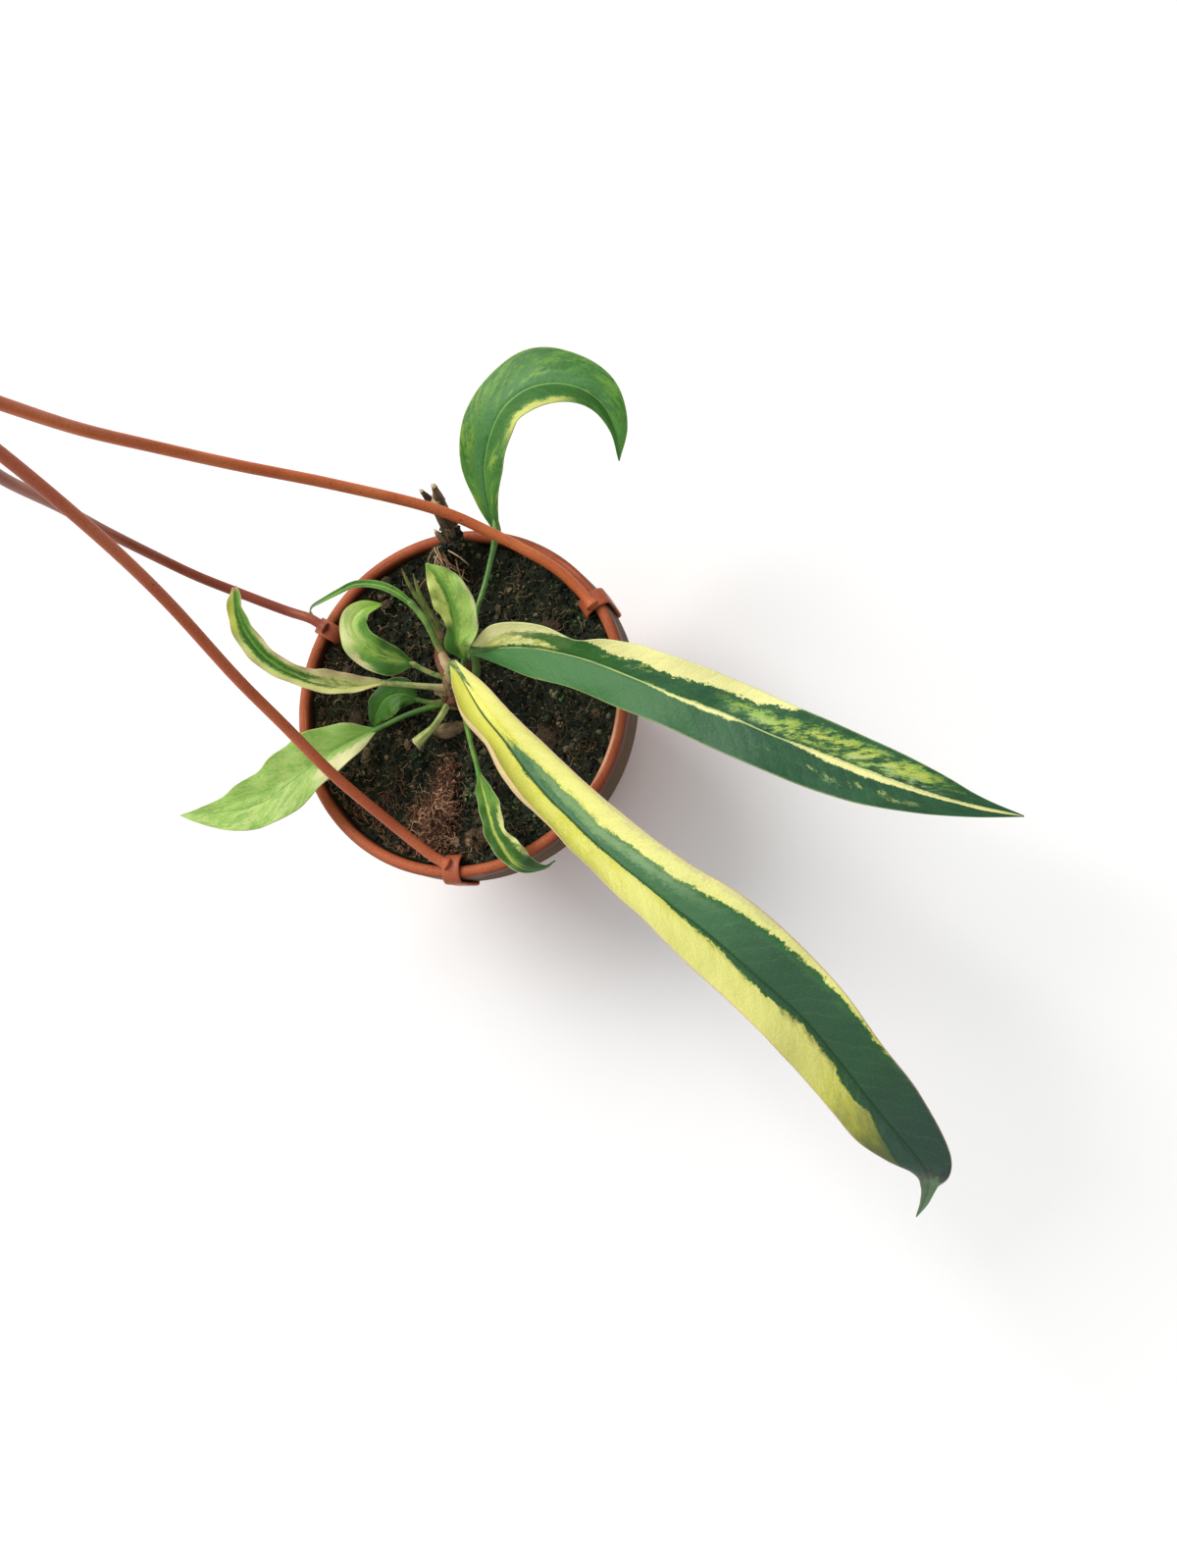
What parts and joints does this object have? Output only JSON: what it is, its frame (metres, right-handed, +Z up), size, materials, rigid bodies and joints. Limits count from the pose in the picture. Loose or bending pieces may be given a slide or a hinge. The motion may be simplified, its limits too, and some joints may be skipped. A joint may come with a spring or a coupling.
{
  "type": "potted anthurium vittarifolium in a hanging pot",
  "caption": "Strap-leaved aroid with arching variegated leaves in a round plastic hanging pot, its clip-on hanger leaning to one side.",
  "frame": {"origin": "centre of the flat boss under the pot, on the surface that the pot stands on", "axes": "+Z up along the pot's axis; the long front leaf reaches towards +X and -Y, and the hanger leans towards -X"},
  "size_m": [0.2721, 0.2638, 0.2841],
  "materials": {
    "pot_plastic": "satin",
    "hanger_plastic": "satin",
    "potting_mix": "matte",
    "coir": "matte",
    "bark": "matte",
    "dry_wood": "matte",
    "crown_sheath": "matte",
    "dark_green_leaf": "satin",
    "yellow_variegated_leaf": "satin",
    "mid_green_leaf": "satin",
    "pale_green_leaf": "satin",
    "cut_stalk": "satin"
  },
  "bodies": {
    "root": {"pot": "pot_plastic", "potting_mix": "potting_mix", "coir_tuft": "coir", "dry_stub": "dry_wood", "crown": "crown_sheath", "bark_chip_front": "bark", "bark_chip_left": "bark", "bark_chip_right": "bark", "bark_chip_back": "bark", "leaf_right_long": "dark_green_leaf", "leaf_front_long": "yellow_variegated_leaf", "leaf_back_crescent": "mid_green_leaf", "leaf_upright_small": "pale_green_leaf", "leaf_left_curled": "mid_green_leaf", "leaf_left_channel": "mid_green_leaf", "leaf_left_broad": "pale_green_leaf", "leaf_left_folded": "mid_green_leaf", "leaf_front_small": "mid_green_leaf", "leaf_back_strap": "mid_green_leaf", "new_shoots": "mid_green_leaf", "cut_stalk": "cut_stalk", "hanger_arm_back": "hanger_plastic", "hanger_arm_left": "hanger_plastic", "hanger_arm_front": "hanger_plastic", "hanger_hook": "hanger_plastic"}
  },
  "joints": []
}
